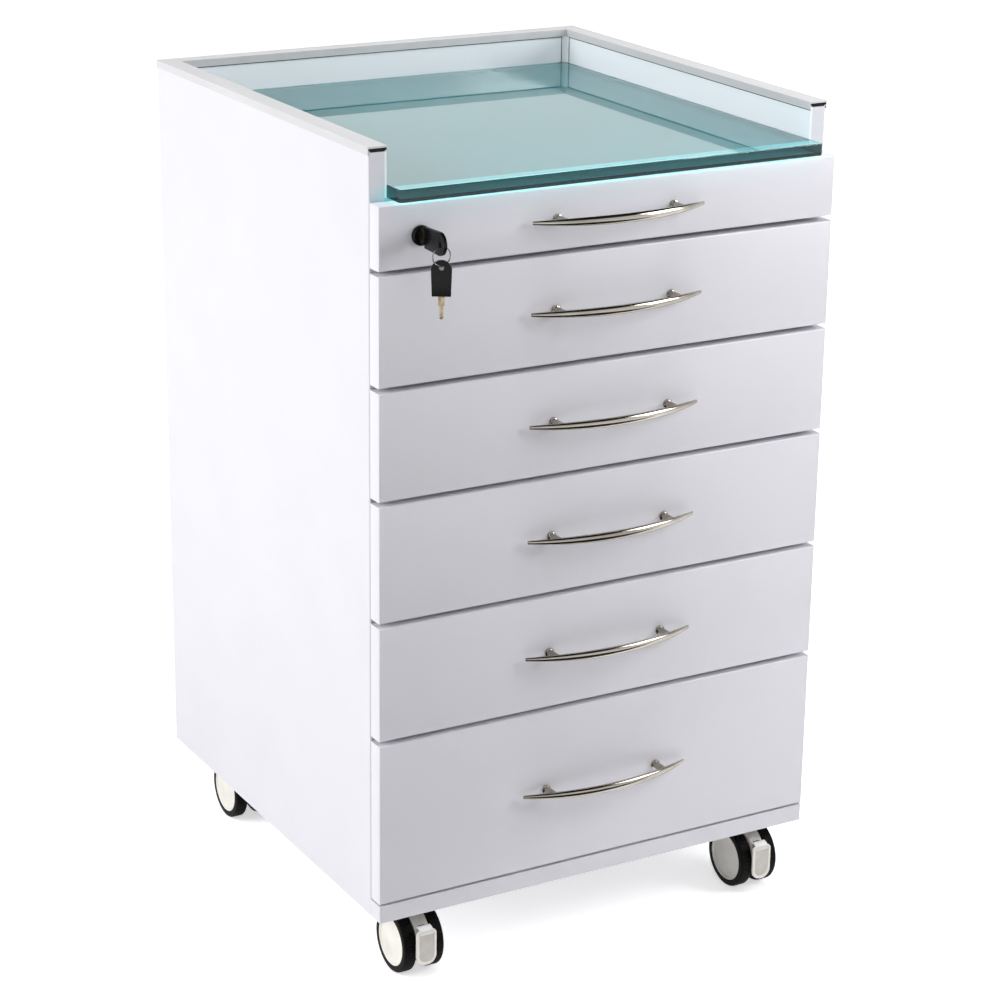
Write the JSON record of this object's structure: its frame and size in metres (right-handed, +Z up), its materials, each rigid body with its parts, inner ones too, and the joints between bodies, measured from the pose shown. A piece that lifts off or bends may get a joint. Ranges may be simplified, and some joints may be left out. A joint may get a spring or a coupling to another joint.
{
  "type": "mobile dental drawer cabinet",
  "caption": "White board drawer cabinet on braked twin-wheel casters, with a glass worktop in a low gallery, bow handles, telescopic slides and a cam lock with keys.",
  "frame": {"origin": "On the floor under the middle of the whole cabinet, handles, keys and gallery caps included.", "axes": "+Z up; +Y to the back panel, so the drawers open towards -Y; +X to the right of someone facing the drawers."},
  "size_m": [0.5018, 0.5524, 0.839],
  "materials": {
    "white_board": "smooth white melamine-faced board, satin",
    "white_steel": "white powder-coated sheet steel",
    "steel": "zinc-plated rolled steel",
    "tinted_glass": "polished green-tinted float glass",
    "white_plastic": "glossy pale grey-white lining",
    "satin_aluminium": "white-lacquered extruded aluminium",
    "satin_nickel": "satin nickel plating",
    "black_plastic": "black moulded lock body",
    "nickel_brass": "nickel-plated brass",
    "key_steel": "nickel-plated steel with a black moulded bow",
    "grey_plastic": "light grey moulded nylon",
    "ivory_plastic": "ivory moulded nylon",
    "caster_rubber": "black tread on an ivory capped hub"
  },
  "bodies": {
    "cabinet": {"side_panel_left": "white_board", "side_panel_right": "white_board", "back_panel": "white_board", "base_panel": "white_board", "top_panel": "white_board", "strike_plate": "steel", "glass_worktop": "tinted_glass", "gallery_lining": "white_plastic", "gallery_caps": "satin_aluminium", "cabinet_rails": "steel", "caster_plates": "steel"},
    "drawer_1": {"drawer_1_front": "white_board", "drawer_1_box": "white_steel", "drawer_1_handle": "satin_nickel", "drawer_1_rails": "steel", "lock_housing": "black_plastic"},
    "middle_1": {"middle_1_rails": "steel"},
    "drawer_2": {"drawer_2_front": "white_board", "drawer_2_box": "white_steel", "drawer_2_handle": "satin_nickel", "drawer_2_rails": "steel"},
    "middle_2": {"middle_2_rails": "steel"},
    "drawer_3": {"drawer_3_front": "white_board", "drawer_3_box": "white_steel", "drawer_3_handle": "satin_nickel", "drawer_3_rails": "steel"},
    "middle_3": {"middle_3_rails": "steel"},
    "drawer_4": {"drawer_4_front": "white_board", "drawer_4_box": "white_steel", "drawer_4_handle": "satin_nickel", "drawer_4_rails": "steel"},
    "middle_4": {"middle_4_rails": "steel"},
    "drawer_5": {"drawer_5_front": "white_board", "drawer_5_box": "white_steel", "drawer_5_handle": "satin_nickel", "drawer_5_rails": "steel"},
    "middle_5": {"middle_5_rails": "steel"},
    "drawer_6": {"drawer_6_front": "white_board", "drawer_6_box": "white_steel", "drawer_6_handle": "satin_nickel", "drawer_6_rails": "steel"},
    "middle_6": {"middle_6_rails": "steel"},
    "lock_plug": {"lock_plug": "nickel_brass"},
    "lock_key": {"lock_key": "key_steel"},
    "key_ring": {"key_ring": "key_steel"},
    "caster_front_left": {"caster_housing_front_left": "grey_plastic"},
    "wheel_front_left_outer": {"wheel_front_left_outer": "caster_rubber"},
    "wheel_front_left_inner": {"wheel_front_left_inner": "caster_rubber"},
    "brake_front_left": {"brake_pedal_front_left": "ivory_plastic"},
    "caster_front_right": {"caster_housing_front_right": "grey_plastic"},
    "wheel_front_right_outer": {"wheel_front_right_outer": "caster_rubber"},
    "wheel_front_right_inner": {"wheel_front_right_inner": "caster_rubber"},
    "brake_front_right": {"brake_pedal_front_right": "ivory_plastic"},
    "caster_back_left": {"caster_housing_back_left": "grey_plastic"},
    "wheel_back_left_outer": {"wheel_back_left_outer": "caster_rubber"},
    "wheel_back_left_inner": {"wheel_back_left_inner": "caster_rubber"},
    "caster_back_right": {"caster_housing_back_right": "grey_plastic"},
    "wheel_back_right_outer": {"wheel_back_right_outer": "caster_rubber"},
    "wheel_back_right_inner": {"wheel_back_right_inner": "caster_rubber"}
  },
  "joints": [
    {"name": "drawer_1_slide", "type": "slide", "parent": "cabinet", "child": "drawer_1", "axis": [0, -1, 0], "range_m": [0, 0.43]},
    {"name": "middle_1_slide", "type": "slide", "parent": "cabinet", "child": "middle_1", "axis": [0, -1, 0], "range_m": [0, 0.215]},
    {"name": "drawer_2_slide", "type": "slide", "parent": "cabinet", "child": "drawer_2", "axis": [0, -1, 0], "range_m": [0, 0.43]},
    {"name": "middle_2_slide", "type": "slide", "parent": "cabinet", "child": "middle_2", "axis": [0, -1, 0], "range_m": [0, 0.215]},
    {"name": "drawer_3_slide", "type": "slide", "parent": "cabinet", "child": "drawer_3", "axis": [0, -1, 0], "range_m": [0, 0.43]},
    {"name": "middle_3_slide", "type": "slide", "parent": "cabinet", "child": "middle_3", "axis": [0, -1, 0], "range_m": [0, 0.215]},
    {"name": "drawer_4_slide", "type": "slide", "parent": "cabinet", "child": "drawer_4", "axis": [0, -1, 0], "range_m": [0, 0.43]},
    {"name": "middle_4_slide", "type": "slide", "parent": "cabinet", "child": "middle_4", "axis": [0, -1, 0], "range_m": [0, 0.215]},
    {"name": "drawer_5_slide", "type": "slide", "parent": "cabinet", "child": "drawer_5", "axis": [0, -1, 0], "range_m": [0, 0.43]},
    {"name": "middle_5_slide", "type": "slide", "parent": "cabinet", "child": "middle_5", "axis": [0, -1, 0], "range_m": [0, 0.215]},
    {"name": "drawer_6_slide", "type": "slide", "parent": "cabinet", "child": "drawer_6", "axis": [0, -1, 0], "range_m": [0, 0.43]},
    {"name": "middle_6_slide", "type": "slide", "parent": "cabinet", "child": "middle_6", "axis": [0, -1, 0], "range_m": [0, 0.215]},
    {"name": "lock_turn", "type": "hinge", "parent": "drawer_1", "child": "lock_plug", "pos_m": [-0.2075, -0.232, 0.7585], "axis": [0, -1, 0], "range_deg": [0, 90]},
    {"name": "key_pull", "type": "slide", "parent": "lock_plug", "child": "lock_key", "axis": [0, -1, 0], "range_m": [0, 0.022]},
    {"name": "ring_swing", "type": "hinge", "parent": "lock_key", "child": "key_ring", "pos_m": [-0.2075, -0.2682, 0.7585], "axis": [1, 0, 0], "range_deg": [-30, 12]},
    {"name": "caster_front_left_swivel", "type": "hinge", "parent": "cabinet", "child": "caster_front_left", "pos_m": [-0.2, -0.1677, 0.068], "axis": [0, 0, 1], "continuous": true},
    {"name": "wheel_front_left_outer_roll", "type": "hinge", "parent": "caster_front_left", "child": "wheel_front_left_outer", "pos_m": [-0.2, -0.1957, 0.0325], "axis": [1, 0, 0], "continuous": true},
    {"name": "wheel_front_left_inner_roll", "type": "hinge", "parent": "caster_front_left", "child": "wheel_front_left_inner", "pos_m": [-0.2, -0.1957, 0.0325], "axis": [1, 0, 0], "continuous": true},
    {"name": "brake_front_left_lift", "type": "hinge", "parent": "caster_front_left", "child": "brake_front_left", "pos_m": [-0.2, -0.2177, 0.05], "axis": [-1, 0, 0], "range_deg": [0, 20]},
    {"name": "caster_front_right_swivel", "type": "hinge", "parent": "cabinet", "child": "caster_front_right", "pos_m": [0.2, -0.1677, 0.068], "axis": [0, 0, 1], "continuous": true},
    {"name": "wheel_front_right_outer_roll", "type": "hinge", "parent": "caster_front_right", "child": "wheel_front_right_outer", "pos_m": [0.2, -0.1957, 0.0325], "axis": [1, 0, 0], "continuous": true},
    {"name": "wheel_front_right_inner_roll", "type": "hinge", "parent": "caster_front_right", "child": "wheel_front_right_inner", "pos_m": [0.2, -0.1957, 0.0325], "axis": [1, 0, 0], "continuous": true},
    {"name": "brake_front_right_lift", "type": "hinge", "parent": "caster_front_right", "child": "brake_front_right", "pos_m": [0.2, -0.2177, 0.05], "axis": [-1, 0, 0], "range_deg": [0, 20]},
    {"name": "caster_back_left_swivel", "type": "hinge", "parent": "cabinet", "child": "caster_back_left", "pos_m": [-0.2, 0.2343, 0.068], "axis": [0, 0, 1], "continuous": true},
    {"name": "wheel_back_left_outer_roll", "type": "hinge", "parent": "caster_back_left", "child": "wheel_back_left_outer", "pos_m": [-0.2, 0.2063, 0.0325], "axis": [1, 0, 0], "continuous": true},
    {"name": "wheel_back_left_inner_roll", "type": "hinge", "parent": "caster_back_left", "child": "wheel_back_left_inner", "pos_m": [-0.2, 0.2063, 0.0325], "axis": [1, 0, 0], "continuous": true},
    {"name": "caster_back_right_swivel", "type": "hinge", "parent": "cabinet", "child": "caster_back_right", "pos_m": [0.2, 0.2343, 0.068], "axis": [0, 0, 1], "continuous": true},
    {"name": "wheel_back_right_outer_roll", "type": "hinge", "parent": "caster_back_right", "child": "wheel_back_right_outer", "pos_m": [0.2, 0.2063, 0.0325], "axis": [1, 0, 0], "continuous": true},
    {"name": "wheel_back_right_inner_roll", "type": "hinge", "parent": "caster_back_right", "child": "wheel_back_right_inner", "pos_m": [0.2, 0.2063, 0.0325], "axis": [1, 0, 0], "continuous": true}
  ],
  "couplings": [
    {"joint": "middle_1_slide", "follows": "drawer_1_slide", "ratio": 0.5},
    {"joint": "middle_2_slide", "follows": "drawer_2_slide", "ratio": 0.5},
    {"joint": "middle_3_slide", "follows": "drawer_3_slide", "ratio": 0.5},
    {"joint": "middle_4_slide", "follows": "drawer_4_slide", "ratio": 0.5},
    {"joint": "middle_5_slide", "follows": "drawer_5_slide", "ratio": 0.5},
    {"joint": "middle_6_slide", "follows": "drawer_6_slide", "ratio": 0.5}
  ]
}
